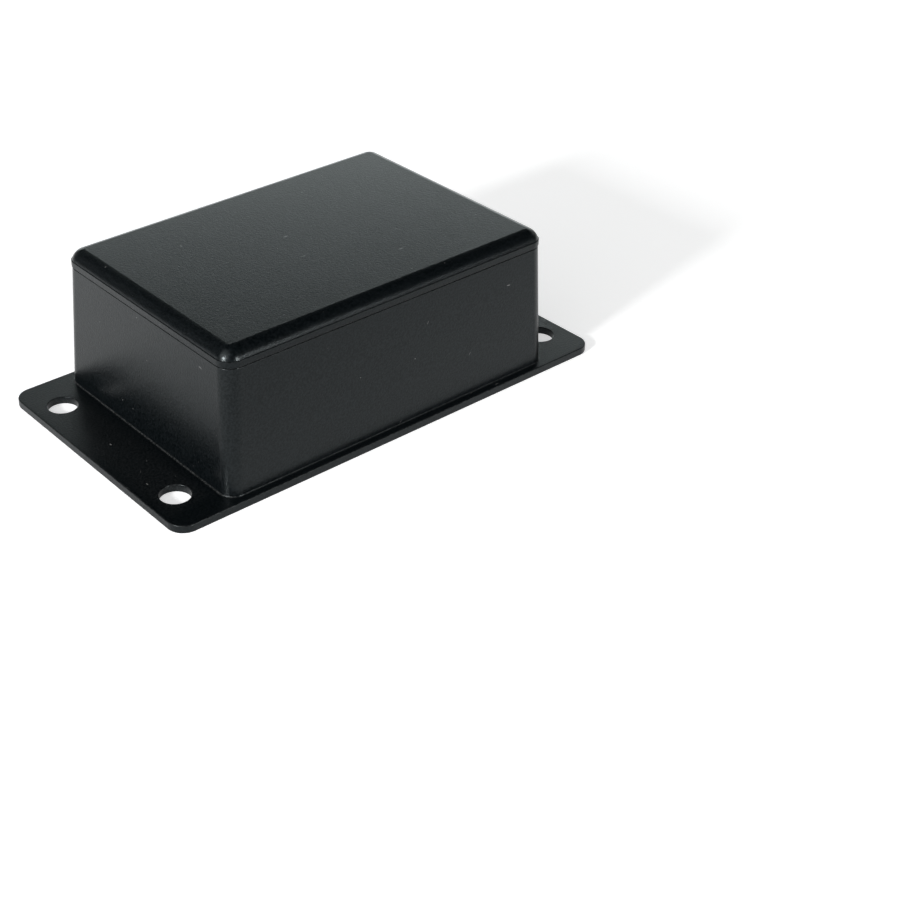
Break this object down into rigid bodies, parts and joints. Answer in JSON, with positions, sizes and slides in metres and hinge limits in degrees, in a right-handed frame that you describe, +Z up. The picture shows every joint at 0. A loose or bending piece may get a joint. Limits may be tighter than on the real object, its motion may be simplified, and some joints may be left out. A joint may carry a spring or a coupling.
{
  "type": "flanged plastic project box",
  "caption": "Small rectangular electronics enclosure with a press-in lid, drafted walls and a flat mounting plate with holes at each end.",
  "frame": {"origin": "centre of the underside of the mounting plate", "axes": "+X along the long side of the box, towards one pair of mounting holes; +Y across the box; +Z up, out through the lid"},
  "size_m": [0.0654, 0.0368, 0.0196],
  "materials": {
    "base_plastic": "black moulded ABS with a fine spark-eroded texture, satin",
    "lid_plastic": "black moulded ABS with a fine spark-eroded texture, satin"
  },
  "bodies": {
    "base": {"flanged_base": "base_plastic"},
    "cover": {"lid": "lid_plastic"}
  },
  "joints": [
    {"name": "lid_lift", "type": "slide", "parent": "base", "child": "cover", "axis": [0, 0, 1], "range_m": [0, 0.03]}
  ]
}
